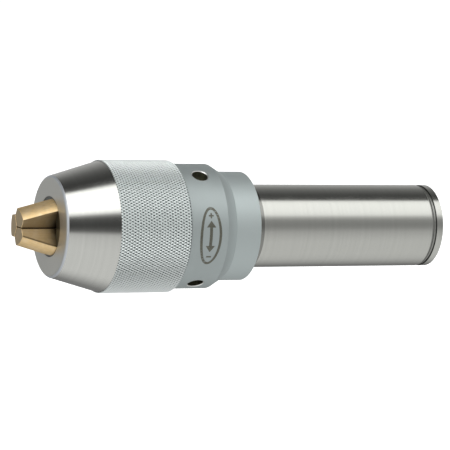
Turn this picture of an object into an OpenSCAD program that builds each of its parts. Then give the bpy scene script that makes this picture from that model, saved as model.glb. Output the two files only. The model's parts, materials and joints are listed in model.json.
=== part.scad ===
// Keyless drill chuck with a straight shank. Millimetres.
// The chuck axis is X: jaws towards -X, shank towards +X, +Z up.
// The origin is on the axis at the rear face of the collar, where the shank starts.

/* [Shank] */
// Diameter of the straight shank
shank_d = 31.75; // [25:0.05:32]
// Length of the shank behind the collar
shank_length = 80.6; // [60:0.1:120]
// Thickness of the end cap's flange
cap_thickness = 2.8; // [2:0.1:4]
// Length of the relief groove in front of the end cap
groove_length = 1.8; // [1.2:0.1:4]
// Depth of the relief groove
groove_depth = 0.45; // [0.2:0.05:0.8]

/* [Collar] */
// Diameter of the large collar, which holds the spanner holes
collar_d = 47.36; // [46.6:0.02:49]
// Diameter of the small rear collar
rear_collar_d = 41.52; // [40:0.02:44]
// Length from the rear face to the front face of the large collar
collar_front = 30; // [28:0.1:32]
// Length from the rear face to the rear edge of the large collar
collar_rear = 15; // [13:0.1:16]
// Length of the small rear collar
rear_collar_length = 10.1; // [8:0.1:12]
// Diameter of a spanner hole
spanner_hole_d = 6; // [4:0.1:6.5]
// Depth of a spanner hole
spanner_hole_depth = 5; // [3:0.1:5.2]

/* [Sleeve and nose] */
// Diameter over the knurled sleeve
sleeve_d = 50; // [49:0.1:54]
// Length of the knurled sleeve
sleeve_length = 27.95; // [27:0.05:28.5]
// Gap between the sleeve and the collar
sleeve_gap = 0.4; // [0.3:0.05:0.6]
// Length of the nose cone
cone_length = 19.2; // [18.5:0.1:20]
// Diameter of the front face of the nose cone, before its edge is rounded
nose_d = 37.76; // [37:0.02:40]
// Diameter of the nose cone where it meets the sleeve
cone_base_d = 49.1; // [48.6:0.1:49.6]
// Diameter of the opening for the jaws
nose_hole_d = 22.54; // [22.5:0.02:24]
// Radius of the rounded front edge
nose_round = 1.3; // [0.5:0.1:1.6]

/* [Jaws] */
// Length of jaw that stands out of the nose
jaw_reach = 12.55; // [10:0.05:13.5]
// Angle between a jaw's back and the chuck axis
jaw_angle = 17; // [16.5:0.1:17]
// Angle between the relieved back at a jaw's tip and the chuck axis
jaw_tip_angle = 18.8; // [17:0.05:19]
// Width of a jaw
jaw_width = 8.2; // [8:0.1:8.8]
// Distance from the axis to a jaw's gripping edge
grip_radius = 0.46; // [0.45:0.01:0.6]
// Width of the gripping edge
grip_width = 0.8; // [0.4:0.1:1.2]
// Distance from the axis to a jaw's back at the nose face
back_radius_at_nose = 10.7; // [10.6:0.01:11]
// Radius of a jaw's round back
jaw_back_r = 10.8; // [10:0.1:11]
// Angles of the jaws about the axis, from +Z towards -Y
jaw_angles = [30, 150, 270];

/* [Drive] */
// Outer diameter of the lead screw's thread
screw_d = 12; // [10:0.1:12]
// Distance between neighbouring thread crests
thread_pitch = 2; // [1.5:0.1:2.5]
// Number of balls in the thrust bearing
ball_count = 24; // [12:1:24]
// Diameter of a ball
ball_d = 3; // [2.6:0.1:3]

/* [Hidden] */
$fn = 96;
shank_r = shank_d / 2;
collar_r = collar_d / 2;
rear_collar_r = rear_collar_d / 2;
sleeve_r = sleeve_d / 2;
nose_r = nose_d / 2;
cone_base_r = cone_base_d / 2;
nose_hole_r = nose_hole_d / 2;
screw_r = screw_d / 2;
ball_r = ball_d / 2;
// Running clearance between parts that turn or slide on each other
running = 0.05;
// Clearance between the bearing's races, its balls and their neighbours
bearing_gap = 0.02;
// Clearance round parts that only pass through each other
free_gap = 0.1;
edge = 0.4;
// How far a cutting shape passes the surface it cuts
overshoot = 1;
// Larger than any section of the chuck's inner parts
oversize = 30;

// Stations along the axis
sleeve_rear_x = -collar_front - sleeve_gap;
sleeve_front_x = sleeve_rear_x - sleeve_length;
nose_x = sleeve_front_x - cone_length;
jaw_tip_x = nose_x - jaw_reach;
barrel_front_x = -45;
flange_length = 4;
flange_front_x = sleeve_rear_x - flange_length;
race_thickness = 1.2;
ball_x = flange_front_x - race_thickness - ball_r - bearing_gap;
nut_rear_x = ball_x - ball_r - bearing_gap - race_thickness;
nut_screw_x = -41.75;
drag_ring_x = -44.4;
spigot_rear_x = -52;
spanner_x = -22.4;

// Body and sleeve bores
barrel_r = 18.5;
barrel_bore_r = 16.2;
barrel_bore_rear_x = -19.5;
shank_seat_r = 12;
counterbore_depth = 1;
sleeve_bore_r = 22.3;
bush_r = 20;
cap_bore_r = 9;
cap_spigot_length = 8;
thread_rear_x = 5;
nut_screw_r = 1.25;
drag_ring_inner = 21;
drag_ring_width = 1.2;

// Jaw carrier and lead screw
carrier_r = 16.1;
carrier_front_x = -54.5;
carrier_rear_x = -41.5;
slot_lip_x = -51.5;
slot_floor_x = -47.8;
neck_width = 4.5;
flange_r = 9;
flange_thickness = 1.9;
screw_spigot_r = 5;
screw_end_x = 8.35;
stop_washer_thickness = 1.5;
stop_head_r = 4.25;
stop_head_length = 4;
stop_shank_r = 2.1;
stop_shank_length = 12;

// Jaws
jaw_tail_x = -65.6;
jaw_tail_height = 9.35;
jaw_chamfer = 0.5;

// Jaw guide
guide_step_x = -70;
guide_rear_x = -58;
guide_front_x = nose_x + 0.25;
guide_seat_x = nose_x + 0.7;
guide_r = 19.5;
guide_nose_r = 16.2;
guide_hole_r = 7;

// Turns a shape that stands along Z so that it lies along +X
module on_axis() {
  rotate([0, 90, 0]) children();
}

// A plain disc or shaft between two stations
module disc(x1, x2, r) {
  translate([x1, 0, 0]) on_axis() cylinder(h = x2 - x1, r = r);
}

// A ring between two stations
module ring(x1, x2, inner, outer) {
  difference() {
    disc(x1, x2, outer);
    disc(x1 - overshoot, x2 + overshoot, inner);
  }
}

// A turned solid from an outline of [radius, station] points
module turned(outline) {
  on_axis() rotate_extrude() polygon(outline);
}

// Repeats its children at each jaw's angle
module at_each_jaw() {
  for (angle = jaw_angles) rotate([angle, 0, 0]) children();
}

// A straight prism along X from an outline of [y, z] points
module prism(x1, x2, outline) {
  translate([x1, 0, 0]) rotate([90, 0, 90]) linear_extrude(x2 - x1) polygon(outline);
}

// An arc of [radius, station] points about a centre
function arc(centre, r, from, to, steps = 8) =
  [for (i = [0 : steps]) let (a = from + (to - from) * i / steps)
    [centre[0] + r * cos(a), centre[1] + r * sin(a)]];

// Outline of a jaw's cross-section: gripping edge, wedge faces and parallel sides
function jaw_outline(half, gap) =
  let (edge_half = grip_width / 2 + gap, low = grip_radius - gap,
       shoulder = low + (half - edge_half) / tan(60))
  [[-edge_half, low], [edge_half, low], [half, shoulder], [half, oversize],
   [-half, oversize], [-half, shoulder]];

// The inclined bar that carries a jaw's round back, with a clearance all round
module inclined_bar(half, r, chamfer, angle = jaw_angle, low = -6) {
  side_z = sqrt(r * r - half * half);
  reach = 60;
  translate([nose_x, 0, back_radius_at_nose - jaw_back_r / cos(jaw_angle)])
    rotate([0, -angle, 0])
      translate([-reach, 0, 0])
        rotate([90, 0, 90])
          linear_extrude(2 * reach)
            intersection() {
              circle(r = r);
              polygon([[-half, low], [half, low], [half, side_z - chamfer],
                       [half - chamfer, side_z + chamfer], [half - chamfer, r + overshoot],
                       [chamfer - half, r + overshoot], [chamfer - half, side_z + chamfer],
                       [-half, side_z - chamfer]]);
            }
}

module shank() {
  groove_rear_x = shank_length - cap_thickness;
  groove_front_x = groove_rear_x - groove_length;
  color("silver") difference() {
    union() {
      disc(barrel_bore_rear_x, overshoot, shank_seat_r);
      disc(-counterbore_depth, overshoot, shank_r - edge);
      turned([[0, 0], [shank_r, 0], [shank_r, groove_front_x],
              [shank_r - groove_depth, groove_front_x + 2 * groove_depth],
              [shank_r - groove_depth, groove_rear_x], [0, groove_rear_x]]);
    }
    disc(barrel_bore_rear_x - overshoot, thread_rear_x + overshoot, screw_r + running);
    disc(thread_rear_x, shank_length, cap_bore_r);
    shank_pin_bars();
  }
}

// The dowels that lie half in the shank and half in the body
module shank_pin_bars() {
  pin_r = 2;
  pin_depth = 8;
  for (side = [-1, 1])
    translate([barrel_bore_rear_x, side * shank_seat_r, 0]) on_axis() cylinder(h = pin_depth, r = pin_r);
}

module shank_pins() {
  color("dimgray") shank_pin_bars();
}

module end_cap() {
  seal_depth = 1.8;
  seal_width = 2.2;
  slot_depth = 1.6;
  slot_width = 2.4;
  slot_length = 18;
  face_x = shank_length - cap_thickness;
  seal_x = face_x - cap_spigot_length / 2 - seal_width / 2;
  color("gainsboro") difference() {
    union() {
      turned([[0, face_x], [shank_r, face_x], [shank_r, shank_length - edge / 2],
              [shank_r - edge / 2, shank_length], [0, shank_length]]);
      disc(face_x - cap_spigot_length, face_x + overshoot, cap_bore_r);
    }
    ring(seal_x, seal_x + seal_width, cap_bore_r - seal_depth, cap_bore_r + overshoot);
    translate([shank_length - slot_depth, 0, 0]) on_axis()
      linear_extrude(slot_depth + overshoot) {
        square([slot_width, slot_length - slot_width], center = true);
        for (side = [-1, 1]) translate([0, side * (slot_length - slot_width) / 2])
          circle(d = slot_width);
      }
  }
}

module end_cap_seal() {
  cord_r = 0.9;
  middle_x = shank_length - cap_thickness - cap_spigot_length / 2;
  color("black") translate([middle_x, 0, 0]) on_axis()
    rotate_extrude() translate([cap_bore_r - cord_r, 0]) circle(r = cord_r, $fn = 32);
}

module chuck_body() {
  color("lightsteelblue") difference() {
    turned([[shank_seat_r, -counterbore_depth], [shank_r + free_gap, -counterbore_depth],
            [shank_r + free_gap, 0], [rear_collar_r - edge / 2, 0], [rear_collar_r, -edge / 2],
            [rear_collar_r, -rear_collar_length],
            [collar_r, -collar_rear], [collar_r, -collar_front + edge / 2],
            [collar_r - edge / 2, -collar_front], [barrel_r, -collar_front],
            [barrel_r, barrel_front_x], [barrel_bore_r, barrel_front_x],
            [barrel_bore_r, barrel_bore_rear_x], [shank_seat_r, barrel_bore_rear_x]]);
    shank_pin_bars();
    dust_seal_ring(1.2);
    at_each_jaw() {
      translate([spanner_x, 0, collar_r - spanner_hole_depth])
        cylinder(h = spanner_hole_depth + overshoot, d = spanner_hole_d);
      translate([spanner_x, 0, collar_r - edge])
        cylinder(h = overshoot, r1 = spanner_hole_d / 2, r2 = spanner_hole_d / 2 + overshoot);
    }
  }
}

// The seal ring, reaching ahead of the collar's front face by a given height
module dust_seal_ring(height) {
  seal_inner_r = 21.2;
  seal_outer_r = 22.6;
  seal_depth = 1.2;
  ring(-collar_front - height, -collar_front + seal_depth, seal_inner_r, seal_outer_r);
}

module dust_seal() {
  color("black") dust_seal_ring(0.3);
}

module thrust_nut() {
  nut_r = 22;
  wall = nut_r - barrel_r;
  color("dimgray") difference() {
    ring(barrel_front_x, nut_rear_x, barrel_r, nut_r);
    ring(drag_ring_x, drag_ring_x + drag_ring_width, drag_ring_inner, nut_r + overshoot);
    translate([nut_screw_x, 0, barrel_r - overshoot]) cylinder(h = wall + 2 * overshoot, r = nut_screw_r);
  }
}

module nut_screw() {
  screw_top = 21;
  socket_depth = 1.2;
  socket_r = 0.85;
  color("black") difference() {
    translate([nut_screw_x, 0, barrel_r - overshoot])
      cylinder(h = screw_top - barrel_r + overshoot, r = nut_screw_r);
    translate([nut_screw_x, 0, screw_top - socket_depth])
      cylinder(h = socket_depth + overshoot, r = socket_r, $fn = 6);
    disc(barrel_front_x, nut_rear_x, barrel_r);
  }
}

module drag_ring() {
  split_angle = 8;
  width = sleeve_bore_r - running - drag_ring_inner;
  color("gray") translate([drag_ring_x, 0, 0]) on_axis()
    rotate_extrude(angle = 360 - split_angle)
      translate([drag_ring_inner, 0]) square([width, drag_ring_width]);
}

module front_race() {
  color("silver") race(nut_rear_x);
}

module rear_race() {
  color("silver") race(flange_front_x - race_thickness);
}

// A hardened washer of the thrust bearing, from a station towards +X
module race(x) {
  ring(x, x + race_thickness, barrel_r + 2 * free_gap, sleeve_bore_r - free_gap);
}

module knurled_sleeve() {
  color("lightgray") turned([[bush_r, sleeve_rear_x], [sleeve_r - edge, sleeve_rear_x],
    [sleeve_r, sleeve_rear_x - edge], [sleeve_r, sleeve_front_x + edge],
    [sleeve_r - edge, sleeve_front_x], [sleeve_bore_r, sleeve_front_x],
    [sleeve_bore_r, flange_front_x], [bush_r, flange_front_x]]);
}

module sleeve_bush() {
  color("peru") ring(flange_front_x, sleeve_rear_x, barrel_r + running, bush_r);
}

module nose_cone() {
  half_angle = atan((cone_base_r - nose_r) / cone_length);
  // The rounded front edge is tangent to the flat face and to the cone
  round_centre = [nose_r - nose_round * tan((90 - half_angle) / 2), nose_x + nose_round];
  spigot_bore_r = 19.8;
  color("silver") difference() {
    turned(concat([[nose_hole_r, nose_x]],
      arc(round_centre, nose_round, -90, -half_angle),
      [[cone_base_r, sleeve_front_x],
       [sleeve_bore_r, sleeve_front_x], [sleeve_bore_r, spigot_rear_x],
       [spigot_bore_r, spigot_rear_x], [spigot_bore_r, guide_rear_x], [guide_r, guide_rear_x],
       [guide_r, guide_step_x], [guide_nose_r, guide_step_x], [guide_nose_r, guide_seat_x],
       [nose_hole_r, guide_seat_x]]));
    guide_pin_bars();
  }
}

module jaw_guide() {
  color("gray") difference() {
    union() {
      disc(guide_front_x, guide_step_x, nose_hole_r);
      disc(guide_seat_x, guide_step_x + overshoot, guide_nose_r);
      disc(guide_step_x, guide_rear_x, guide_r);
    }
    disc(nose_x, 0, guide_hole_r);
    at_each_jaw() jaw_passage();
    guide_pin_bars();
  }
}

// The inclined slot in which a jaw slides
module jaw_passage() {
  half = jaw_width / 2 + running;
  intersection() {
    prism(nose_x - overshoot, guide_rear_x + overshoot,
          [[-half, 0], [half, 0], [half, oversize], [-half, oversize]]);
    inclined_bar(half, jaw_back_r + running, 0);
  }
}

// The dowels that lie half in the guide and half in the nose cone
module guide_pin_bars() {
  pin_r = 1.25;
  pin_length = 8;
  for (angle = jaw_angles)
    rotate([angle + 60, 0, 0])
      translate([guide_rear_x - pin_length, 0, guide_r]) on_axis() cylinder(h = pin_length, r = pin_r);
}

module guide_pins() {
  color("dimgray") guide_pin_bars();
}

module ball_ring(r) {
  ball_circle_r = 20.4;
  for (i = [0 : ball_count - 1])
    rotate([360 * i / ball_count, 0, 0]) translate([ball_x, 0, ball_circle_r]) sphere(r = r);
}

module ball_cage() {
  cage_half = 0.7;
  cage_gap = 0.4;
  color("goldenrod") difference() {
    ring(ball_x - cage_half, ball_x + cage_half, barrel_r + cage_gap, sleeve_bore_r - cage_gap);
    ball_ring(ball_r + bearing_gap);
  }
}

module thrust_balls() {
  color("gainsboro") ball_ring(ball_r);
}

module jaw_carrier() {
  half_neck = neck_width / 2 + running;
  half_head = jaw_width / 2 + running;
  color("slategray") difference() {
    disc(carrier_front_x, carrier_rear_x, carrier_r);
    disc(slot_floor_x - overshoot, carrier_rear_x + overshoot, screw_spigot_r);
    at_each_jaw() {
      translate([carrier_front_x - overshoot, -half_neck, 0])
        cube([slot_floor_x - carrier_front_x + overshoot, 2 * half_neck, carrier_r + overshoot]);
      translate([slot_lip_x, -half_head, 0])
        cube([slot_floor_x - slot_lip_x, 2 * half_head, carrier_r + overshoot]);
    }
    carrier_pin_bar();
  }
}

// The cross pin through the carrier and the lead screw's spigot
module carrier_pin_bar() {
  pin_r = 1.5;
  pin_x = (slot_floor_x + carrier_rear_x) / 2;
  translate([pin_x, 0, -carrier_r + edge]) cylinder(h = 2 * (carrier_r - edge), r = pin_r);
}

module carrier_pin() {
  color("dimgray") carrier_pin_bar();
}

module lead_screw() {
  thread_front_x = carrier_rear_x + flange_thickness;
  crest = thread_pitch / 4;
  root_r = screw_r - thread_pitch / 2;
  thread_count = floor((screw_end_x - thread_front_x) / thread_pitch);
  color("slategray") difference() {
    union() {
      disc(slot_floor_x, carrier_rear_x + overshoot, screw_spigot_r);
      disc(carrier_rear_x, thread_front_x, flange_r);
      turned(concat([[0, thread_front_x - overshoot], [root_r, thread_front_x - overshoot]],
        [for (i = [0 : thread_count - 1]) let (x = thread_front_x + i * thread_pitch)
          each [[root_r, x + crest / 2], [screw_r, x + 1.5 * crest],
                [screw_r, x + 2.5 * crest], [root_r, x + 3.5 * crest]]],
        [[root_r, screw_end_x], [0, screw_end_x]]));
    }
    disc(screw_end_x - stop_shank_length, screw_end_x + overshoot, stop_shank_r);
    carrier_pin_bar();
  }
}

module stop_washer() {
  color("gray") ring(screw_end_x, screw_end_x + stop_washer_thickness, stop_shank_r, flange_r - edge);
}

module stop_screw() {
  head_x = screw_end_x + stop_washer_thickness;
  socket_r = 2.2;
  color("black") difference() {
    union() {
      disc(screw_end_x - stop_shank_length, head_x + overshoot, stop_shank_r);
      disc(head_x, head_x + stop_head_length, stop_head_r);
    }
    translate([head_x + stop_head_length / 2, 0, 0])
      on_axis() cylinder(h = stop_head_length, r = socket_r, $fn = 6);
  }
}

// One jaw: a bar with an inclined round back, wedge-shaped inner faces and a T-shaped tail
module jaw(angle) {
  half = jaw_width / 2;
  neck_half = neck_width / 2;
  head_rear_x = slot_floor_x - free_gap;
  head_front_x = slot_lip_x + free_gap;
  neck_front_x = -57.5;
  color("gold") rotate([angle, 0, 0]) difference() {
    intersection() {
      prism(jaw_tip_x, head_rear_x, jaw_outline(half, 0));
      inclined_bar(half, jaw_back_r, jaw_chamfer);
      inclined_bar(half, jaw_back_r, jaw_chamfer, jaw_tip_angle, -oversize);
    }
    translate([jaw_tail_x, -jaw_width, jaw_tail_height])
      cube([head_rear_x - jaw_tail_x + overshoot, 2 * jaw_width, oversize]);
    for (side = [0, 1]) mirror([0, side, 0])
      translate([neck_front_x, neck_half, -overshoot])
        cube([head_front_x - neck_front_x, jaw_width, oversize]);
  }
}

shank();
end_cap();
end_cap_seal();
shank_pins();
chuck_body();
dust_seal();
thrust_nut();
nut_screw();
drag_ring();
front_race();
knurled_sleeve();
sleeve_bush();
rear_race();
nose_cone();
jaw_guide();
guide_pins();
ball_cage();
thrust_balls();
jaw_carrier();
lead_screw();
carrier_pin();
stop_washer();
stop_screw();
jaw(jaw_angles[0]);  // jaw_1
jaw(jaw_angles[1]);  // jaw_2
jaw(jaw_angles[2]);  // jaw_3
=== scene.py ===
"""Looks of a keyless drill chuck with a straight shank.

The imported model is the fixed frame: +X runs along the shank, the jaws point to -X and +Z is up,
with the origin on the axis at the rear face of the collar. Every length is in metres.
"""

import json
import logging
import math
from dataclasses import dataclass
from enum import Enum

import bmesh
import bpy
from mathutils import Matrix, Vector


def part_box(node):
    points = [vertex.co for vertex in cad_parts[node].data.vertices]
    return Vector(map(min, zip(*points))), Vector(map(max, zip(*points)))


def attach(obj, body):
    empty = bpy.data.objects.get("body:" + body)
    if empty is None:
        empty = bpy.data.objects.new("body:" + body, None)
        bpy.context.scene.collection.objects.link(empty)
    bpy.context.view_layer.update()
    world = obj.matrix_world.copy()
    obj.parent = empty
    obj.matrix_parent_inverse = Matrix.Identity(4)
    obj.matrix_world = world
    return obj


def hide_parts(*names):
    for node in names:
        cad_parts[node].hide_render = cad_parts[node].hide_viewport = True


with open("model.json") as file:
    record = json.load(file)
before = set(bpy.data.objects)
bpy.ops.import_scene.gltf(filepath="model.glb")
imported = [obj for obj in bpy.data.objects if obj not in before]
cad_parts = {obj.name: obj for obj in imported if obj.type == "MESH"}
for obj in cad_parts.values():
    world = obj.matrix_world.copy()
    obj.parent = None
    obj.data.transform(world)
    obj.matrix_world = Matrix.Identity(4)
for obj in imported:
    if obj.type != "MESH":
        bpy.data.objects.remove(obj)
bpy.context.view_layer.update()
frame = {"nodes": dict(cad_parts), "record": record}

Socket = bpy.types.NodeSocket
Colour = tuple[float, float, float]
Edges = list[bmesh.types.BMEdge]

MM = 0.001
AXIS = Vector((1, 0, 0))
TURNED_SEGMENTS = 256
SAME_PLACE = 0.001 * MM
KNURL_ROUND = 136
KNURL_ROWS = 13
# Angles about the axis of the three jaws, and of the three pin holes, from +Z towards -Y
THIRDS = (30, 150, 270)
log = logging.getLogger("chuck")


class Body(Enum):
    """The moving bodies that new pieces ride on."""

    BODY = "body"
    SLEEVE = "sleeve"
    JAW_1 = "jaw_1"
    JAW_2 = "jaw_2"
    JAW_3 = "jaw_3"


class Slot(Enum):
    """The record's material slots."""

    GROUND_STEEL = "ground_steel"
    CONE_STEEL = "ground_cone_steel"
    SATIN_CHROME = "satin_chrome"
    KNURLED_CHROME = "knurled_chrome"
    GOLD_COATING = "gold_coating"
    GUIDE_STEEL = "guide_steel"
    HARDENED_STEEL = "hardened_steel"
    BEARING_STEEL = "bearing_steel"
    BLACK_STEEL = "black_steel"
    BRONZE = "bronze"
    BRASS = "brass"
    SEAL_RUBBER = "seal_rubber"


# ---------------------------------------------------------------- nodes


class Wiring:
    """The nodes of a material or of the world, with short calls for the ones in common use."""

    def __init__(self, tree: bpy.types.NodeTree) -> None:
        """Take over a node tree and empty it.

        Args:
            tree: The node tree.
        """
        self.nodes = tree.nodes
        self.links = tree.links
        self.nodes.clear()

    def feed(self, socket: Socket, value: object) -> None:
        """Put a value into a socket.

        Args:
            socket: The input.
            value: A number, a colour or another node's output. None leaves the input alone.
        """
        if isinstance(value, Socket):
            self.links.new(value, socket)
        elif value is not None:
            socket.default_value = value

    def math(self, operation: str, a: object, b: object = None) -> Socket:
        """Work something out with a Math node.

        Args:
            operation: The node's operation.
            a: Its first input.
            b: Its second input, if it has one.

        Returns:
            The result.
        """
        node = self.nodes.new("ShaderNodeMath")
        node.operation = operation
        self.feed(node.inputs[0], a)
        self.feed(node.inputs[1], b)
        return node.outputs[0]

    def add(self, a: object, b: object) -> Socket:
        """Return a plus b."""
        return self.math("ADD", a, b)

    def times(self, a: object, b: object) -> Socket:
        """Return a times b."""
        return self.math("MULTIPLY", a, b)

    def axes(self, place: Socket) -> tuple[Socket, Socket, Socket]:
        """Take a place apart.

        Args:
            place: The place.

        Returns:
            Its X, Y and Z.
        """
        split = self.nodes.new("ShaderNodeSeparateXYZ")
        self.links.new(place, split.inputs[0])
        return split.outputs["X"], split.outputs["Y"], split.outputs["Z"]

    def between(
        self, value: object, low: float, high: float, start: float = 0, end: float = 1, smooth: bool = True
    ) -> Socket:
        """Move a value from one range into another, and hold it at the ends.

        Args:
            value: The value.
            low: Where the range that it comes from starts.
            high: Where that range ends.
            start: What low becomes.
            end: What high becomes.
            smooth: Whether it leaves and reaches the ends gently.

        Returns:
            The moved value.
        """
        node = self.nodes.new("ShaderNodeMapRange")
        node.interpolation_type = "SMOOTHSTEP" if smooth else "LINEAR"
        self.feed(node.inputs["Value"], value)
        node.inputs["From Min"].default_value = low
        node.inputs["From Max"].default_value = high
        node.inputs["To Min"].default_value = start
        node.inputs["To Max"].default_value = end
        return node.outputs[0]

    def blend(self, amount: object, a: object, b: object) -> Socket:
        """Mix two colours.

        Args:
            amount: 0 for all a, 1 for all b.
            a: The first colour.
            b: The second colour.

        Returns:
            The mixed colour.
        """
        node = self.nodes.new("ShaderNodeMix")
        node.data_type = "RGBA"
        self.feed(node.inputs[0], amount)
        self.feed(node.inputs[6], a)
        self.feed(node.inputs[7], b)
        return node.outputs[2]


class Shader(Wiring):
    """A material in the making, with one principled surface."""

    NOISE_MIDDLE = (0.3, 0.7)

    def __init__(self, name: str) -> None:
        """Start a material.

        Args:
            name: The material's name.
        """
        self.material = bpy.data.materials.new(name)
        self.material.use_nodes = True
        super().__init__(self.material.node_tree)
        output = self.nodes.new("ShaderNodeOutputMaterial")
        self.surface = self.nodes.new("ShaderNodeBsdfPrincipled")
        self.links.new(self.surface.outputs["BSDF"], output.inputs["Surface"])
        self.place = self.nodes.new("ShaderNodeTexCoord").outputs["Object"]

    def stations(self) -> tuple[Socket, Socket]:
        """Measure each point from the chuck axis.

        Returns:
            The station along the axis and the distance from it.
        """
        station, across, up = self.axes(self.place)
        square = self.add(self.times(across, across), self.times(up, up))
        return station, self.math("SQRT", square)

    def rings(self, pitch: float) -> Socket:
        """Return the fine random rings that turning or grinding leaves round the axis.

        Args:
            pitch: Mean distance between rings.

        Returns:
            A value from 0 to 1 that changes along a cylinder, a cone or a flat face alike.
        """
        noise = self.nodes.new("ShaderNodeTexNoise")
        noise.noise_dimensions = "1D"
        noise.inputs["Scale"].default_value = 1 / pitch
        noise.inputs["Detail"].default_value = 3
        self.links.new(self.add(*self.stations()), noise.inputs["W"])
        return noise.outputs["Fac"]

    def noise(
        self, size: float, detail: float = 3, stretch: tuple[float, float, float] = (1, 1, 1)
    ) -> Socket:
        """Return a cloudy pattern.

        Args:
            size: Size of the clouds.
            detail: How much finer structure they carry.
            stretch: How much smaller the clouds are along each axis.

        Returns:
            A value from 0 to 1.
        """
        mapping = self.nodes.new("ShaderNodeMapping")
        mapping.inputs["Scale"].default_value = stretch
        self.links.new(self.place, mapping.inputs["Vector"])
        noise = self.nodes.new("ShaderNodeTexNoise")
        noise.inputs["Scale"].default_value = 1 / size
        noise.inputs["Detail"].default_value = detail
        self.links.new(mapping.outputs[0], noise.inputs["Vector"])
        return noise.outputs["Fac"]

    def spread(self, noise: Socket, start: float = 0, end: float = 1) -> Socket:
        """Return the middle of a noise's range, stretched to run from start to end."""
        return self.between(noise, *self.NOISE_MIDDLE, start, end)

    def around(self, noise: Socket, value: float, swing: float) -> Socket:
        """Return a value that a noise moves up and down by a swing."""
        return self.spread(noise, value - swing, value + swing)

    def mix(self, amount: object, a: object, b: object) -> Socket:
        """Mix two numbers.

        Args:
            amount: 0 for all a, 1 for all b.
            a: The first number.
            b: The second number.

        Returns:
            The mixed number.
        """
        node = self.nodes.new("ShaderNodeMix")
        self.feed(node.inputs[0], amount)
        self.feed(node.inputs[2], a)
        self.feed(node.inputs[3], b)
        return node.outputs[0]

    def bump(self, height: Socket, depth: float, strength: float = 1) -> None:
        """Raise the surface by a height.

        Args:
            height: The height, from 0 to 1.
            depth: How high 1 stands.
            strength: How much of the effect shows.
        """
        node = self.nodes.new("ShaderNodeBump")
        node.inputs["Distance"].default_value = depth
        node.inputs["Strength"].default_value = strength
        self.links.new(height, node.inputs["Height"])
        self.links.new(node.outputs[0], self.surface.inputs["Normal"])

    def metal(self, colour: object, roughness: object) -> None:
        """Make the surface bare or plated metal.

        Args:
            colour: The metal's colour.
            roughness: Its roughness.
        """
        self.surface.inputs["Metallic"].default_value = 1
        self.feed(self.surface.inputs["Base Color"], colour)
        self.feed(self.surface.inputs["Roughness"], roughness)


def rgba(colour: Colour, level: float = 1) -> tuple[float, float, float, float]:
    """Return a linear colour, made lighter or darker by a factor, with full opacity."""
    return (colour[0] * level, colour[1] * level, colour[2] * level, 1)


def grey(level: float) -> tuple[float, float, float, float]:
    """Return a grey with full opacity."""
    return (level, level, level, 1)


# ---------------------------------------------------------------- finishes


@dataclass(frozen=True)
class TurnedMetal:
    """Turned or ground metal, with fine rings round the chuck axis and a faint haze of handling."""

    name: str
    colour: Colour
    roughness: float
    ring_pitch: float = 0.16 * MM
    ring_depth: float = 0.00025 * MM
    contrast: float = 0.04
    broad_ring: float = 9
    fine_share: float = 0.6
    streaks: tuple[float, float] = (0.96, 1.06)
    haze_size: float = 9 * MM
    haze_range: tuple[float, float] = (0.35, 0.75)
    haze_roughness: tuple[float, float] = (-0.012, 0.02)

    def dress(self, shader: Shader) -> tuple[Socket, Socket]:
        """Lay the rings and the haze on a shader.

        Args:
            shader: The material in the making.

        Returns:
            The colour and the roughness all over the metal.
        """
        fine = shader.rings(self.ring_pitch)
        broad = shader.rings(self.ring_pitch * self.broad_ring)
        tone = shader.add(shader.times(fine, self.fine_share), shader.times(broad, 1 - self.fine_share))
        dark, light = rgba(self.colour, 1 - self.contrast), rgba(self.colour, 1 + self.contrast / 2)
        colour = shader.blend(shader.spread(tone), dark, light)
        haze = shader.between(shader.noise(self.haze_size, 4), *self.haze_range, *self.haze_roughness)
        smooth, coarse = self.streaks
        streaks = shader.spread(fine, self.roughness * smooth, self.roughness * coarse)
        shader.bump(fine, self.ring_depth)
        return colour, shader.add(streaks, haze)

    def make(self) -> bpy.types.Material:
        """Make the material.

        Returns:
            The material.
        """
        shader = Shader(self.name)
        shader.metal(*self.dress(shader))
        return shader.material


@dataclass(frozen=True)
class GroundCone(TurnedMetal):
    """Ground steel with a duller faced end, and a rougher rounding between the two that is painted lighter
    as a highlight.
    """

    face_station: float = -77.5 * MM
    face_roughness: float = 0.46
    face_grain: float = 0.3 * MM
    face_swing: float = 0.03
    rounding_end: float = -76.7 * MM
    rounding_radius: tuple[float, float] = (15 * MM, 15.2 * MM)
    # Painted highlight colour for the front rounding.
    rounding_highlight_colour: Colour = (0.66, 0.69, 0.72)
    rounding_roughness: float = 0.55
    soft: float = 0.12 * MM

    def make(self) -> bpy.types.Material:
        """Make the material.

        Returns:
            The material.
        """
        shader = Shader(self.name)
        colour, rough = self.dress(shader)
        station, radius = shader.stations()
        outer = shader.between(radius, *self.rounding_radius)
        rounding = shader.between(station, self.rounding_end - self.soft, self.rounding_end, 1, 0)
        rounding = shader.times(rounding, outer)
        # Painted highlight: the front rounding is painted lighter and bluer.
        colour = shader.blend(rounding, colour, rgba(self.rounding_highlight_colour))
        rough = shader.mix(rounding, rough, self.rounding_roughness)
        faced = shader.between(station, self.face_station, self.face_station + self.soft, 1, 0)
        dull = shader.around(shader.noise(self.face_grain), self.face_roughness, self.face_swing)
        shader.metal(shader.blend(faced, colour, rgba(self.colour)), shader.mix(faced, rough, dull))
        return shader.material


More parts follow.
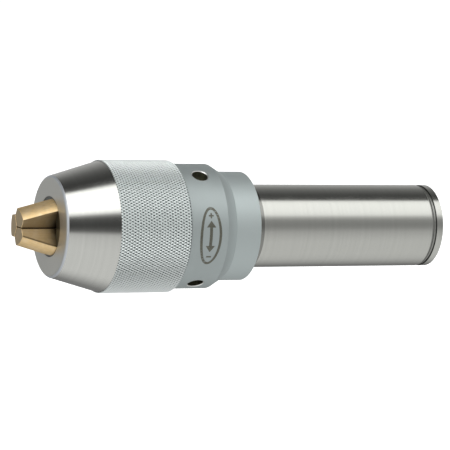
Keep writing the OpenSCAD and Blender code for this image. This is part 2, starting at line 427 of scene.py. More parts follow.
@dataclass(frozen=True)
class GroundShank(TurnedMetal):
    """Ground steel, with painted shade beside the shoulder and in the groove where the cap meets the shank,
    darkest as a painted shadow line at the groove's rear end; the groove is also rougher.
    """

    # Painted shade beside the shoulder: where it ends, how softly it ends and how dark it is.
    shoulder_shade_end: float = 3.7 * MM
    shoulder_shade_soft: float = 0.2 * MM
    shoulder_shade_level: float = 0.5
    groove: tuple[float, float] = (75.7 * MM, 77.86 * MM)
    groove_soft: tuple[float, float] = (0.15 * MM, 0.02 * MM)
    # Painted shade on the groove's floor.
    groove_shade_level: float = 0.66
    groove_roughness: float = 0.2
    # Painted shadow line near the groove's rear end: where it ends, how softly it starts and how dark it is.
    joint: float = 77.7 * MM
    joint_shade_soft: float = 0.3 * MM
    joint_shade_level: float = 0.22

    def make(self) -> bpy.types.Material:
        """Make the material.

        Returns:
            The material.
        """
        shader = Shader(self.name)
        colour, rough = self.dress(shader)
        station, _ = shader.stations()
        # Painted shade: the shank is darkened beside the shoulder.
        shoulder_shade = shader.between(station, self.shoulder_shade_end - self.shoulder_shade_soft, self.shoulder_shade_end, 1, 0)
        colour = shader.blend(shoulder_shade, colour, rgba(self.colour, self.shoulder_shade_level))
        start, end = self.groove
        start_soft, end_soft = self.groove_soft
        past_start = shader.between(station, start, start + start_soft)
        groove = shader.times(past_start, shader.between(station, end - end_soft, end, 1, 0))
        # Painted shade in the groove, darkest in a painted shadow line at its rear end.
        joint = shader.between(station, self.joint - self.joint_shade_soft, self.joint)
        dull = shader.blend(joint, rgba(self.colour, self.groove_shade_level), rgba(self.colour, self.joint_shade_level))
        rough = shader.add(rough, shader.times(groove, self.groove_roughness))
        shader.metal(shader.blend(groove, colour, dull), rough)
        return shader.material


@dataclass(frozen=True)
class BlastedChrome:
    """Satin chrome over a bead-blasted surface, with bare pin holes whose glossier rims are painted bright
    as a highlight.
    """

    name: str
    colour: Colour = (0.555, 0.61, 0.605)
    roughness: float = 0.64
    roughness_swing: float = 0.04
    grain_size: float = 0.14 * MM
    grain_depth: float = 0.005 * MM
    grain_strength: float = 0.6
    cloud_size: float = 14 * MM
    cloud_levels: tuple[float, float] = (0.96, 1.03)
    pit_range: tuple[float, float] = (0.25, 0.5)
    pit_share: float = 0.3
    pit_level: float = 0.75
    rear_station: float = -10 * MM
    rear_fade: float = 5 * MM
    rear_level: float = 1.13
    bare: Colour = (0.33, 0.33, 0.27)
    stain_size: float = 0.8 * MM
    stain_levels: tuple[float, float] = (0.7, 1.5)
    bare_gloss: float = 0.3
    # Painted highlight colour for the pin-hole rims.
    rim_highlight: Colour = (0.9, 0.91, 0.88)
    hole_station: float = -22.4 * MM
    hole_radius: float = 3 * MM
    hole_rim: float = 0.3 * MM
    rim_soft: float = 0.06 * MM
    hole_top: float = 23.2 * MM
    top_soft: float = 0.3 * MM
    hole_rear: float = -16 * MM
    rear_soft: float = 0.2 * MM

    def beside_hole(self, shader: Shader, angle: float) -> Socket:
        """Measure the distance from the axis of a pin hole.

        Args:
            shader: The material in the making.
            angle: The hole's angle about the chuck axis.

        Returns:
            The distance, made much too long on the far side of the chuck.
        """
        station, y, z = shader.axes(shader.place)
        sine, cosine = math.sin(math.radians(angle)), math.cos(math.radians(angle))
        across = shader.add(shader.times(y, cosine), shader.times(z, sine))
        outward = shader.add(shader.times(y, -sine), shader.times(z, cosine))
        along = shader.math("SUBTRACT", station, self.hole_station)
        square = shader.add(shader.times(across, across), shader.times(along, along))
        far_side = shader.between(outward, 0, 1 * MM, 1, 0)
        return shader.add(shader.math("SQRT", square), far_side)

    def hole_masks(self, shader: Shader) -> tuple[Socket, Socket]:
        """Find the pin holes.

        Args:
            shader: The material in the making.

        Returns:
            A mask of the bare metal inside them, and one of their bright rims.
        """
        station, radius = shader.stations()
        inside = shader.between(radius, self.hole_top, self.hole_top + self.top_soft, 1, 0)
        ahead = shader.between(station, self.hole_rear - self.rear_soft, self.hole_rear, 1, 0)
        nearest = self.beside_hole(shader, THIRDS[0])
        for angle in THIRDS[1:]:
            nearest = shader.math("MINIMUM", nearest, self.beside_hole(shader, angle))
        edge = self.hole_radius + self.hole_rim
        return shader.times(inside, ahead), shader.between(nearest, edge - self.rim_soft, edge, 1, 0)

    def make(self) -> bpy.types.Material:
        """Make the material.

        Returns:
            The material.
        """
        shader = Shader(self.name)
        grain = shader.noise(self.grain_size)
        station, _ = shader.stations()
        hole, rim_highlight = self.hole_masks(shader)
        dark, light = (rgba(self.colour, level) for level in self.cloud_levels)
        plating = shader.blend(shader.spread(shader.noise(self.cloud_size)), dark, light)
        pits = shader.between(grain, *self.pit_range, self.pit_share, 0)
        plating = shader.blend(pits, plating, rgba(self.colour, self.pit_level))
        rear = shader.between(station, self.rear_station - self.rear_fade, self.rear_station)
        plating = shader.blend(rear, plating, rgba(self.colour, self.rear_level))
        # Painted highlight: the pin-hole rims are painted near white.
        plating = shader.blend(rim_highlight, plating, rgba(self.rim_highlight))
        dark, light = (rgba(self.bare, level) for level in self.stain_levels)
        stain = shader.blend(shader.noise(self.stain_size, 4), dark, light)
        bare = shader.math("MAXIMUM", hole, rim_highlight)
        rough = shader.around(grain, self.roughness, self.roughness_swing)
        rough = shader.add(rough, shader.times(bare, -self.bare_gloss))
        shader.metal(shader.blend(hole, plating, stain), rough)
        shader.bump(grain, self.grain_depth, self.grain_strength)
        return shader.material


@dataclass(frozen=True)
class KnurledChrome:
    """Satin chrome on a knurl: tips painted bright as a highlight, and dark pits painted as shade where the
    grooves cross.
    """

    name: str
    # The tip colour is a painted highlight and the pit colour is painted shade.
    tip: Colour = (0.97, 1.0, 0.99)
    slope: Colour = (0.86, 0.91, 0.9)
    pit_shade: Colour = (0.055, 0.07, 0.068)
    tip_highlight_range: tuple[float, float] = (-0.95, -0.1)
    pit_range: tuple[float, float] = (0.15, 0.85)
    roughness: tuple[float, float] = (0.46, 0.55)
    grain_size: float = 0.12 * MM
    grain_depth: float = 0.003 * MM
    grain_strength: float = 0.5

    def make(self) -> bpy.types.Material:
        """Make the material.

        Returns:
            The material.
        """
        shader = Shader(self.name)
        low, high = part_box("knurled_sleeve")
        station, across, up = shader.axes(shader.place)
        turn = shader.math("ARCTAN2", up, across)
        station = shader.math("SUBTRACT", station, low.x)
        wave_round = shader.math("COSINE", shader.times(turn, KNURL_ROUND))
        wave_along = shader.math("COSINE", shader.times(station, math.tau * KNURL_ROWS / (high.x - low.x)))
        crossing = shader.times(wave_round, wave_along)
        grain = shader.noise(self.grain_size)
        # Painted highlight on the tips of the knurl, then painted shade in the pits where the grooves cross.
        colour = shader.blend(shader.between(crossing, *self.tip_highlight_range), rgba(self.tip), rgba(self.slope))
        colour = shader.blend(shader.between(crossing, *self.pit_range), colour, rgba(self.pit_shade))
        shader.metal(colour, shader.spread(grain, *self.roughness))
        shader.bump(grain, self.grain_depth, self.grain_strength)
        return shader.material


@dataclass(frozen=True)
class GoldCoating:
    """A thin hard gold-coloured coating on ground steel, which can be darkened towards the nose mouth as
    painted shade.
    """

    name: str
    colour: Colour = (0.94, 0.71, 0.38)
    rubbed: Colour = (1.0, 0.79, 0.5)
    roughness: float = 0.5
    mouth_shade_share: float = 0
    levels: tuple[float, float] = (0.93, 1.06)
    scratch_size: float = 0.5 * MM
    scratch_stretch: tuple[float, float, float] = (0.1, 1, 1)
    scratch_range: tuple[float, float] = (0.25, 0.75)
    scratch_depth: float = 0.0006 * MM
    scratch_strength: float = 0.5
    scratch_roughness: tuple[float, float] = (-0.04, 0.06)
    rubbed_size: float = 2.5 * MM
    rubbed_range: tuple[float, float] = (0.4, 0.7)
    rubbed_share: float = 0.7
    # Painted shade colour, and where it fades in towards the nose mouth.
    mouth_shade: Colour = (0.02, 0.017, 0.008)
    mouth_shade_range: tuple[float, float] = (-3 * MM, 2.5 * MM)

    def make(self) -> bpy.types.Material:
        """Make the material.

        Returns:
            The material.
        """
        shader = Shader(self.name)
        scratches = shader.noise(self.scratch_size, 4, self.scratch_stretch)
        dark, light = (rgba(self.colour, level) for level in self.levels)
        tint = shader.blend(shader.spread(scratches), dark, light)
        rubbed = shader.between(shader.noise(self.rubbed_size), *self.rubbed_range, 0, self.rubbed_share)
        metal = shader.blend(rubbed, tint, rgba(self.rubbed))
        # Painted shade: darker towards the nose mouth.
        if self.mouth_shade_share:
            station, _ = shader.stations()
            start, end = (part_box("nose_cone")[0].x + reach for reach in self.mouth_shade_range)
            metal = shader.blend(shader.between(station, start, end, 0, self.mouth_shade_share), metal, rgba(self.mouth_shade))
        smooth, coarse = (self.roughness + change for change in self.scratch_roughness)
        shader.metal(metal, shader.between(scratches, *self.scratch_range, smooth, coarse))
        shader.bump(scratches, self.scratch_depth, self.scratch_strength)
        return shader.material


@dataclass(frozen=True)
class SealRubber:
    """Black nitrile rubber with a fine moulded grain."""

    name: str
    levels: tuple[float, float] = (0.01, 0.03)
    roughness: tuple[float, float] = (0.5, 0.7)
    grain_size: float = 0.2 * MM
    grain_depth: float = 0.01 * MM
    grain_strength: float = 0.4

    def make(self) -> bpy.types.Material:
        """Make the material.

        Returns:
            The material.
        """
        shader = Shader(self.name)
        grain = shader.noise(self.grain_size)
        dark, light = (grey(level) for level in self.levels)
        shader.feed(shader.surface.inputs["Base Color"], shader.blend(grain, dark, light))
        shader.feed(shader.surface.inputs["Roughness"], shader.spread(grain, *self.roughness))
        shader.bump(grain, self.grain_depth, self.grain_strength)
        return shader.material


@dataclass(frozen=True)
class EtchedInk:
    """The dull bronze-grey of a mark etched through the chrome."""

    name: str
    colour: Colour = (0.2, 0.2, 0.165)
    levels: tuple[float, float] = (0.75, 1.35)
    roughness: tuple[float, float] = (0.5, 0.65)
    grain_size: float = 0.25 * MM

    def make(self) -> bpy.types.Material:
        """Make the material.

        Returns:
            The material.
        """
        shader = Shader(self.name)
        grain = shader.noise(self.grain_size)
        dark, light = (rgba(self.colour, level) for level in self.levels)
        colour = shader.blend(shader.spread(grain), dark, light)
        shader.metal(colour, shader.spread(grain, *self.roughness))
        return shader.material


FINISHES = {
    Slot.GROUND_STEEL: GroundShank("ground steel", colour=(0.63, 0.637, 0.595), roughness=0.17),
    Slot.CONE_STEEL: GroundCone(
        "ground cone steel", colour=(0.63, 0.635, 0.6), roughness=0.155, ring_pitch=0.2 * MM
    ),
    Slot.SATIN_CHROME: BlastedChrome("satin chrome"),
    Slot.KNURLED_CHROME: KnurledChrome("knurled chrome"),
    Slot.GOLD_COATING: GoldCoating("gold coating"),
    # Near-black colour for the guide inside the nose.
    Slot.GUIDE_STEEL: TurnedMetal("dark guide steel", colour=(0.11, 0.12, 0.11), roughness=0.34),
    Slot.HARDENED_STEEL: TurnedMetal("hardened steel", colour=(0.48, 0.48, 0.47), roughness=0.25),
    Slot.BEARING_STEEL: TurnedMetal(
        "polished bearing steel", colour=(0.7, 0.7, 0.69), roughness=0.08,
        ring_pitch=0.3 * MM, ring_depth=0.0002 * MM,
    ),
    Slot.BLACK_STEEL: TurnedMetal("blackened steel", colour=(0.07, 0.07, 0.072), roughness=0.38),
    Slot.BRONZE: TurnedMetal("bearing bronze", colour=(0.5, 0.3, 0.13), roughness=0.3),
    Slot.BRASS: TurnedMetal("machined brass", colour=(0.68, 0.5, 0.2), roughness=0.28),
    Slot.SEAL_RUBBER: SealRubber("nitrile rubber"),
}
materials: dict[Slot, bpy.types.Material] = {}


# ---------------------------------------------------------------- mesh tools


def put_at(verts: list[bmesh.types.BMVert], station: float, radius: float) -> None:
    """Move a ring of points to a station on the axis and a distance from it.

    Args:
        verts: The ring's points.
        station: Where they go along the axis.
        radius: How far they go from it.
    """
    for vert in verts:
        away = Vector((0, vert.co.y, vert.co.z)).normalized() * radius
        vert.co = Vector((station, away.y, away.z))


def next_ring(bm: bmesh.types.BMesh, ring: Edges, station: float, radius: float) -> Edges:
    """Extrude a ring of edges to a new station and radius.

    Args:
        bm: The mesh.
        ring: The ring's edges.
        station: Where the new ring lies along the axis.
        radius: The new ring's radius.

    Returns:
        The new ring's edges.
    """
    grown = bmesh.ops.extrude_edge_only(bm, edges=ring)["geom"]
    put_at([part for part in grown if isinstance(part, bmesh.types.BMVert)], station, radius)
    return [part for part in grown if isinstance(part, bmesh.types.BMEdge)]


def spin_outline(bm: bmesh.types.BMesh, outline: list[tuple[float, float]]) -> None:
    """Turn a closed outline round the chuck axis.

    Args:
        bm: The mesh.
        outline: The outline's points, each a station and a radius.
    """
    points = [bm.verts.new((station, 0, radius)) for station, radius in outline]
    edges = [bm.edges.new((a, b)) for a, b in zip(points, points[1:] + points[:1])]
    bmesh.ops.spin(
        bm, geom=points + edges, cent=(0, 0, 0), axis=AXIS, angle=math.tau, steps=TURNED_SEGMENTS,
        use_merge=True,
    )
    bmesh.ops.remove_doubles(bm, verts=bm.verts, dist=SAME_PLACE)
    bmesh.ops.recalc_face_normals(bm, faces=bm.faces)


def round_edges(bm: bmesh.types.BMesh, edges: Edges, size: float, segments: int = 2) -> None:
    """Round sharp edges.

    Args:
        bm: The mesh.
        edges: The edges.
        size: How far the rounding reaches on each side.
        segments: Steps in the rounding.
    """
    bmesh.ops.bevel(
        bm, geom=edges, offset=size, offset_type="OFFSET", segments=segments, profile=0.5,
        affect="EDGES", material=-1, clamp_overlap=True,
    )


def ring_edges(bm: bmesh.types.BMesh, station: float, radius: float) -> Edges:
    """Find the ring of edges that lies at a station and a radius.

    Args:
        bm: The mesh.
        station: Where the ring lies along the axis.
        radius: The ring's radius.

    Returns:
        The ring's edges.
    """
    close = 0.01 * MM

    def on_ring(vert: bmesh.types.BMVert) -> bool:
        """Say whether a point is on the ring."""
        return abs(vert.co.x - station) < close and abs(vert.co.yz.length - radius) < close

    return [edge for edge in bm.edges if on_ring(edge.verts[0]) and on_ring(edge.verts[1])]


def finish_piece(
    bm: bmesh.types.BMesh, name: str, slot: Slot, body: Body, crease: float = 30
) -> bpy.types.Object:
    """Turn a mesh in the making into a finished piece that rides on its body.

    Args:
        bm: The mesh, in the frame's own place.
        name: The piece's name.
        slot: The material slot that it takes its finish from.
        body: The body that carries it.
        crease: Edges that turn by more than this many degrees stay sharp.

    Returns:
        The piece.
    """
    mesh = bpy.data.meshes.new(name)
    bm.to_mesh(mesh)
    bm.free()
    mesh.polygons.foreach_set("use_smooth", [True] * len(mesh.polygons))
    mesh.set_sharp_from_angle(angle=math.radians(crease))
    piece = bpy.data.objects.new(name, mesh)
    bpy.context.scene.collection.objects.link(piece)
    mesh.materials.append(materials[slot])
    even = piece.modifiers.new("even shading", "WEIGHTED_NORMAL")
    even.keep_sharp = True
    even.weight = 100
    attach(piece, body.value)
    log.info("%s: %d faces on %s", name, len(mesh.polygons), body.value)
    return piece


# ---------------------------------------------------------------- sub-assemblies


@dataclass
class NoseCone:
    """The ground cone round the jaws, with its rounded front edge and the spigot behind it."""

    front_radius: float = 18.88 * MM
    base_radius: float = 24.55 * MM
    hole_radius: float = 11.27 * MM
    front_round: float = 1.3 * MM
    front_steps: int = 8
    hole_round: float = 0.22 * MM
    hole_steps: int = 3
    lip: float = 0.7 * MM
    guide_radius: float = 19.5 * MM
    guide_nose_radius: float = 16.2 * MM
    guide_step: float = -70 * MM
    guide_rear: float = -58 * MM
    spigot_bore: float = 19.8 * MM
    spigot_radius: float = 22.3 * MM

    def build(self) -> bpy.types.Object:
        """Turn the cone as one piece.

        Returns:
            The cone.
        """
        low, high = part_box("nose_cone")
        front = low.x
        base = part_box("knurled_sleeve")[0].x
        flare = math.atan2(self.base_radius - self.front_radius, base - front)
        reach = self.front_round * math.tan((math.pi / 2 - flare) / 2)
        bm = bmesh.new()
        spin_outline(bm, [
            (front, self.hole_radius), (front, self.front_radius), (base, self.base_radius),
            (base, self.spigot_radius), (high.x, self.spigot_radius),
            (high.x, self.spigot_bore), (self.guide_rear, self.spigot_bore),
            (self.guide_rear, self.guide_radius), (self.guide_step, self.guide_radius),
            (self.guide_step, self.guide_nose_radius), (front + self.lip, self.guide_nose_radius),
            (front + self.lip, self.hole_radius),
        ])
        round_edges(bm, ring_edges(bm, front, self.front_radius), reach, self.front_steps)
        round_edges(bm, ring_edges(bm, front, self.hole_radius), self.hole_round, self.hole_steps)
        piece = finish_piece(bm, "nose_shell", Slot.CONE_STEEL, Body.SLEEVE)
        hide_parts("nose_cone")
        return piece


@dataclass
class KnurledSleeve:
    """The gripping sleeve, with every diamond of its knurl standing in real relief."""

    groove_depth: float = 0.34 * MM
    flank: float = 0.3 * MM
    end_land: float = 0.02 * MM
    end_drop: float = 0.05 * MM
    crease: float = 12
    bore: float = 22.3 * MM
    flange_bore: float = 20 * MM
    flange_front: float = -34.6 * MM

    def build(self) -> bpy.types.Object:
        """Cut the knurl as a net of diamonds and close it into a sleeve.

        Returns:
            The sleeve.
        """
        low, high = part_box("knurled_sleeve")
        root = high.z - self.groove_depth
        bm = bmesh.new()
        front, rear = self.add_net(bm, low.x + self.end_land, high.x - self.end_land, root)
        bmesh.ops.recalc_face_normals(bm, faces=bm.faces)
        bmesh.ops.inset_individual(
            bm, faces=list(bm.faces), thickness=self.flank, depth=self.groove_depth, use_even_offset=True
        )
        self.add_inside(bm, front, rear, root)
        bmesh.ops.recalc_face_normals(bm, faces=bm.faces)
        piece = finish_piece(bm, "knurled_shell", Slot.KNURLED_CHROME, Body.SLEEVE, self.crease)
        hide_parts("knurled_sleeve")
        return piece

    def add_net(self, bm: bmesh.types.BMesh, start: float, end: float, root: float) -> tuple[Edges, Edges]:
        """Lay a net of diamonds round the sleeve, at the bottom of the knurl's grooves.

        Args:
            bm: The mesh.
            start: Station of the net's front end.
            end: Station of its rear end.
            root: The net's radius.

        Returns:
            The edges of the front end and those of the rear end.
        """
        step = (end - start) / KNURL_ROWS
        face_x = Matrix.Rotation(math.pi / 2, 4, "Y")
        bmesh.ops.create_circle(bm, segments=KNURL_ROUND, radius=root, matrix=face_x)
        put_at(list(bm.verts), start, root)
        front = list(bm.edges)
        ring = front
        for row in range(1, KNURL_ROWS + 1):
            ring = next_ring(bm, ring, start + row * step, root)
        lattice = [edge for edge in bm.edges if len(edge.link_faces) == 2]
        for centre in bmesh.ops.poke(bm, faces=list(bm.faces))["verts"]:
            put_at([centre], centre.co.x, root)
        bmesh.ops.dissolve_edges(bm, edges=lattice, use_verts=False)
        return front, ring

    def add_inside(self, bm: bmesh.types.BMesh, front: Edges, rear: Edges, root: float) -> None:
        """Close the knurl into a sleeve with its end faces, bore and rear flange.

        Args:
            bm: The mesh.
            front: Edges of the knurl's front end.
            rear: Edges of the knurl's rear end.
            root: Radius at the bottom of the knurl's grooves.
        """
        low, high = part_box("knurled_sleeve")
        ring = front
        for station, radius in (
            (low.x, root - self.end_drop), (low.x, self.bore), (self.flange_front, self.bore),
            (self.flange_front, self.flange_bore), (high.x, self.flange_bore),
        ):
            ring = next_ring(bm, ring, station, radius)
        back = next_ring(bm, rear, high.x, root - self.end_drop)
        bmesh.ops.bridge_loops(bm, edges=ring + back)


@dataclass
class Jaw:
    """One gripping jaw, with its ground edges broken: a bright back, flanks painted dark as shade and a
    plain tip.
    """

    number: int
    angle: float
    edge_break: float = 0.12 * MM
    sharp_angle: float = 20
    flat_angle: float = 0.5
    crease: float = 35
    least_flat: float = 1 * MM * MM
    tip_limit: float = 0.97
    back_limit: float = 0.45
    # The flank colour is painted shade, darker still towards the nose mouth.
    flank_shade_finish: GoldCoating = GoldCoating(
        "painted shade jaw flank", colour=(0.33, 0.235, 0.12), rubbed=(0.36, 0.27, 0.16), roughness=0.42, mouth_shade_share=0.95
    )
    tip_finish: GoldCoating = GoldCoating(
        "ground jaw tip", colour=(0.5, 0.4, 0.24), rubbed=(0.56, 0.42, 0.26), roughness=0.42
    )

    def build(self) -> bpy.types.Object:
        """Take the jaw's solid, break its edges and dress it.

        Returns:
            The jaw.
        """
        node = f"jaw_{self.number}"
        bm = bmesh.new()
        bm.from_mesh(frame["nodes"][node].data)
        bmesh.ops.remove_doubles(bm, verts=bm.verts, dist=SAME_PLACE)
        flat = math.radians(self.flat_angle)
        bmesh.ops.dissolve_limit(bm, angle_limit=flat, verts=bm.verts, edges=bm.edges)
        bmesh.ops.recalc_face_normals(bm, faces=bm.faces)
        sharp = [
            edge for edge in bm.edges
            if len(edge.link_faces) == 2 and edge.calc_face_angle() > math.radians(self.sharp_angle)
        ]
        round_edges(bm, sharp, self.edge_break)
        self.mark_faces(bm)
        piece = finish_piece(
            bm, f"ground_jaw_{self.number}", Slot.GOLD_COATING, Body[f"JAW_{self.number}"], self.crease
        )
        piece.data.materials.append(self.flank_shade_finish.make())
        piece.data.materials.append(self.tip_finish.make())
        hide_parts(node)
        return piece

    def mark_faces(self, bm: bmesh.types.BMesh) -> None:
        """Give the flanks their painted shade and the tip face its own finish, and leave the rest bright.

        Args:
            bm: The mesh.
        """
        turn = math.radians(self.angle)
        outward = Vector((0, -math.sin(turn), math.cos(turn)))
        for face in bm.faces:
            if face.calc_area() < self.least_flat:
                continue
            if -face.normal.x > self.tip_limit:
                face.material_index = 2
            elif face.normal.dot(outward) < self.back_limit:
                face.material_index = 1


@dataclass
class DirectionMark:
    """A plain etched arrow in an oval on the collar, with a sign at each end for open and close.

    It is laid out flat, with its X along the chuck and its Y round the collar, and then wrapped.
    """

    station: float = -22.0 * MM
    turn: float = -1.3 * MM
    oval_width: float = 8.8 * MM
    oval_height: float = 22.5 * MM
    oval_line: float = 1.05 * MM
    oval_segments: int = 96
    shaft_length: float = 7 * MM
    shaft_width: float = 1.2 * MM
    head_length: float = 2.5 * MM
    head_width: float = 3.8 * MM
    head_steps: int = 8
    sign_size: float = 2.0 * MM
    sign_width: float = 0.6 * MM
    sign_distance: float = 7.9 * MM
    bend_step: float = 0.4 * MM
    merge: float = 0.005 * MM
    proud: float = 0.012 * MM

    def bar(self, bm: bmesh.types.BMesh, distance: float, length: float, width: float) -> None:
        """Add a flat bar.

        Args:
            bm: The mesh.
            distance: How far its middle lies round the collar.
            length: Its size round the collar.
            width: Its size along the chuck.
        """
        steps = max(2, int(length / self.bend_step))
        place = Matrix.Translation((0, distance, 0)) @ Matrix.Diagonal((width / 2, length / 2, 1, 1))
        bmesh.ops.create_grid(bm, x_segments=2, y_segments=steps, size=1, matrix=place)

    def head(self, bm: bmesh.types.BMesh, hand: int) -> None:
        """Add an arrowhead at one end of the shaft.

        Args:
            bm: The mesh.
            hand: 1 for the upper end, -1 for the lower one.
        """
        size = Matrix.Diagonal((self.head_width / 2, hand * self.head_length, 1, 1))
        place = Matrix.Translation((0, hand * self.shaft_length / 2, 0)) @ size
        on_base = Matrix.Translation((0, 0.5, 0))
        made = bmesh.ops.create_grid(
            bm, x_segments=2, y_segments=self.head_steps, size=0.5, matrix=on_base
        )["verts"]
        for vert in made:
            vert.co.x *= 2 * (1 - vert.co.y)
        bmesh.ops.transform(bm, matrix=place, verts=made)

    def oval(self, bm: bmesh.types.BMesh) -> None:
        """Add the oval line round the arrow.

        Args:
            bm: The mesh.
        """
        loops = []
        for inset in (0, self.oval_line):
            shape = Matrix.Diagonal((self.oval_width / 2 - inset, self.oval_height / 2 - inset, 1, 1))
            verts = bmesh.ops.create_circle(bm, segments=self.oval_segments, radius=1, matrix=shape)["verts"]
            loops += dict.fromkeys(edge for vert in verts for edge in vert.link_edges)
        bmesh.ops.bridge_loops(bm, edges=loops)

    def wrap(self, bm: bmesh.types.BMesh) -> None:
        """Wrap the flat mark on the collar, facing outwards.

        Args:
            bm: The mesh.
        """
        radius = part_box("chuck_body")[1].z + self.proud
        for vert in bm.verts:
            turn = (vert.co.y + self.turn) / radius
            vert.co = Vector((self.station + vert.co.x, -radius * math.cos(turn), radius * math.sin(turn)))
        bmesh.ops.recalc_face_normals(bm, faces=bm.faces)
        for face in bm.faces:
            if face.normal.y > 0:
                face.normal_flip()

    def build(self) -> bpy.types.Object:
        """Lay out the mark, wrap it and give it its thickness.

        Returns:
            The mark.
        """
        bm = bmesh.new()
        self.oval(bm)
        self.bar(bm, 0, self.shaft_length, self.shaft_width)
        for hand in (-1, 1):
            self.head(bm, hand)
            self.bar(bm, hand * self.sign_distance, self.sign_width, self.sign_size)
        self.bar(bm, self.sign_distance, self.sign_size, self.sign_width)
        bmesh.ops.remove_doubles(bm, verts=bm.verts, dist=self.merge)
        self.wrap(bm)
        bmesh.ops.solidify(bm, geom=list(bm.faces), thickness=self.proud * 2)
        bmesh.ops.recalc_face_normals(bm, faces=bm.faces)
        piece = finish_piece(bm, "direction_mark", Slot.SATIN_CHROME, Body.BODY)
        piece.data.materials[0] = EtchedInk("etched mark").make()
        return piece


@dataclass
class CadPieces:
    """The carried-over solids, each dressed in the finish of its material slot."""

    replaced: tuple[str, ...] = ("nose_cone", "knurled_sleeve", "jaw_1", "jaw_2", "jaw_3")

    def dress(self) -> None:
        """Give every carried-over solid its finish."""
        for part in frame["record"]["subparts"]:
            if part["node"] in self.replaced:
                continue
            piece = frame["nodes"][part["node"]]
            finish = materials[Slot(part["material_slot"])]
            if not piece.material_slots:
                piece.data.materials.append(finish)
            for holder in piece.material_slots:
                holder.material = finish
            log.info("%s dressed in %s", part["node"], finish.name)


# ---------------------------------------------------------------- studio


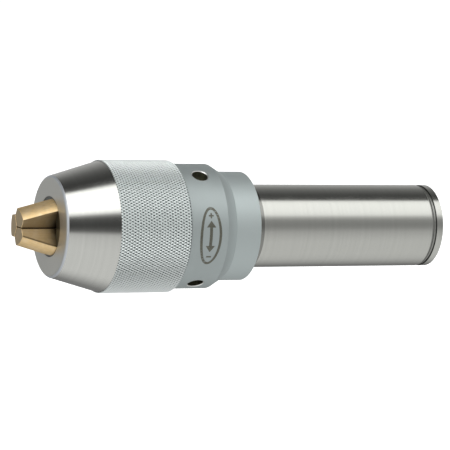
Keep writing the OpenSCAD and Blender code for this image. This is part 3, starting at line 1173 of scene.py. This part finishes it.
@dataclass
class Studio:
    """A plain pale floor, soft light and the camera.

    The light comes in bands that run along the chuck. Each band is an angle about the axis, in degrees
    upwards from the near side, and a level: beside_shank for what the shank's and the collars' sides
    see, ahead_of_nose for what the cone and the jaws see, and behind_shank for what faces the rear.
    """

    azimuth: float = -24.6
    elevation: float = 6.1
    axis_slope: float = 0.23
    distance: float = 1.017
    lens: float = 212.95
    sensor_width: float = 36
    ahead_of_shoulder: float = 5.79 * MM
    rise: float = 0.34 * MM
    floor_drop: float = 0.14
    floor_size: float = 6
    floor_level: float = 0.9
    floor_roughness: float = 0.9
    floor_glow: float = 0.75
    backdrop: float = 1.05
    nose_to_shank: tuple[float, float] = (0.0, 0.36)
    shank_to_rear: tuple[float, float] = (0.6, 0.95)
    beside_shank: tuple[tuple[float, float], ...] = (
        (-180, 0.5), (-160, 0.18), (-140, 0.22), (-116, 0.48), (-100, 0.63), (-80, 0.69),
        (-40, 0.68), (-24, 0.6), (-10, 0.5), (-2, 0.36), (8, 0.29), (22, 0.34),
        (30, 0.6), (37, 1.15), (50, 1.28), (68, 1.34), (78, 1.28), (83, 0.1),
        (100, 0.07), (114, 0.13), (130, 0.22), (150, 0.4), (168, 0.5), (180, 0.5),
    )
    ahead_of_nose: tuple[tuple[float, float], ...] = (
        (-180, 0.52), (-160, 0.4), (-136, 0.28), (-120, 0.48), (-106, 0.7), (-94, 0.8),
        (-40, 0.8), (-20, 0.75), (-9, 0.66), (-3, 0.14), (8, 0.06), (22, 0.1),
        (27, 0.3), (33, 1.5), (40, 1.9), (74, 1.9), (80, 1.6), (85, 0.08),
        (100, 0.05), (113, 0.09), (125, 0.15), (140, 0.3), (160, 0.5), (180, 0.52),
    )
    behind_shank: float = 0.47

    def camera(self) -> None:
        """Place the camera so that it looks at the shoulder from the jaws' side, with the axis level."""
        turn, rise = math.radians(self.azimuth), math.radians(self.elevation)
        back = Vector((math.sin(turn) * math.cos(rise), -math.cos(turn) * math.cos(rise), math.sin(rise)))
        right = Vector((math.cos(turn), math.sin(turn), 0))
        up = back.cross(right)
        roll = math.atan2(AXIS.dot(up), AXIS.dot(right)) - math.radians(self.axis_slope)
        level_right = right * math.cos(roll) + up * math.sin(roll)
        level_up = back.cross(level_right)
        data = bpy.data.cameras.new("camera")
        data.lens = self.lens
        data.sensor_width = self.sensor_width
        camera = bpy.data.objects.new("camera", data)
        stand = Vector((-self.ahead_of_shoulder, 0, 0)) + back * self.distance + level_up * self.rise
        turned = Matrix((level_right, level_up, back)).transposed().to_4x4()
        camera.matrix_world = Matrix.Translation(stand) @ turned
        bpy.context.scene.collection.objects.link(camera)
        bpy.context.scene.camera = camera

    def floor(self) -> None:
        """Lay a large pale floor well below the chuck."""
        bm = bmesh.new()
        place = Matrix.Translation((0, 0, -self.floor_drop))
        bmesh.ops.create_grid(bm, x_segments=1, y_segments=1, size=self.floor_size, matrix=place)
        mesh = bpy.data.meshes.new("floor")
        bm.to_mesh(mesh)
        bm.free()
        floor = bpy.data.objects.new("floor", mesh)
        bpy.context.scene.collection.objects.link(floor)
        shader = Shader("pale floor")
        shader.feed(shader.surface.inputs["Base Color"], grey(self.floor_level))
        shader.feed(shader.surface.inputs["Roughness"], self.floor_roughness)
        shader.feed(shader.surface.inputs["Emission Color"], grey(1))
        shader.feed(shader.surface.inputs["Emission Strength"], self.floor_glow)
        mesh.materials.append(shader.material)
        floor.visible_glossy = False

    def bands(self, sky: Wiring, angle: Socket, levels: tuple[tuple[float, float], ...]) -> Socket:
        """Make bands of light that run along the chuck.

        Args:
            sky: The world's nodes.
            angle: The angle about the axis, from 0 to 1 for a full turn that starts on the far side.
            levels: The bands, each an angle in degrees and a level.

        Returns:
            The light from each angle.
        """
        ramp = sky.nodes.new("ShaderNodeValToRGB")
        sky.feed(ramp.inputs[0], angle)
        stops = ramp.color_ramp.elements
        while len(stops) < len(levels):
            stops.new(0.5)
        for stop, (degrees, level) in zip(stops, levels):
            stop.position = (degrees + 180) / 360
            stop.color = grey(level)
        return ramp.outputs[0]

    def surroundings(self) -> None:
        """Light the scene softly from all round, in front of a plain white backdrop."""
        world = bpy.data.worlds.new("studio")
        world.use_nodes = True
        sky = Wiring(world.node_tree)
        along, across, up = sky.axes(sky.nodes.new("ShaderNodeTexCoord").outputs["Generated"])
        turn = sky.math("ARCTAN2", up, sky.times(across, -1))
        angle = sky.between(turn, -math.pi, math.pi, smooth=False)
        ahead = self.bands(sky, angle, self.ahead_of_nose)
        beside = self.bands(sky, angle, self.beside_shank)
        light = sky.blend(sky.between(along, *self.nose_to_shank), ahead, beside)
        light = sky.blend(sky.between(along, *self.shank_to_rear), light, grey(self.behind_shank))
        studio = sky.nodes.new("ShaderNodeBackground")
        sky.feed(studio.inputs["Color"], light)
        white = sky.nodes.new("ShaderNodeBackground")
        sky.feed(white.inputs["Strength"], self.backdrop)
        sky.feed(white.inputs["Color"], grey(1))
        chooser = sky.nodes.new("ShaderNodeMixShader")
        sky.feed(chooser.inputs[0], sky.nodes.new("ShaderNodeLightPath").outputs["Is Camera Ray"])
        sky.feed(chooser.inputs[1], studio.outputs[0])
        sky.feed(chooser.inputs[2], white.outputs[0])
        sky.feed(sky.nodes.new("ShaderNodeOutputWorld").inputs["Surface"], chooser.outputs[0])
        bpy.context.scene.world = world

    def build(self) -> None:
        """Set up the camera, the floor and the light."""
        self.camera()
        self.floor()
        self.surroundings()
        bpy.context.scene.view_settings.view_transform = "Standard"


def main() -> None:
    """Build the studio, dress the carried-over solids and make the detailed pieces."""
    logging.basicConfig(level=logging.INFO, format="%(message)s")
    Studio().build()
    for slot, finish in FINISHES.items():
        materials[slot] = finish.make()
    CadPieces().dress()
    NoseCone().build()
    KnurledSleeve().build()
    for number, angle in enumerate(THIRDS, start=1):
        Jaw(number, angle).build()
    DirectionMark().build()


if __name__ == "__main__":
    main()
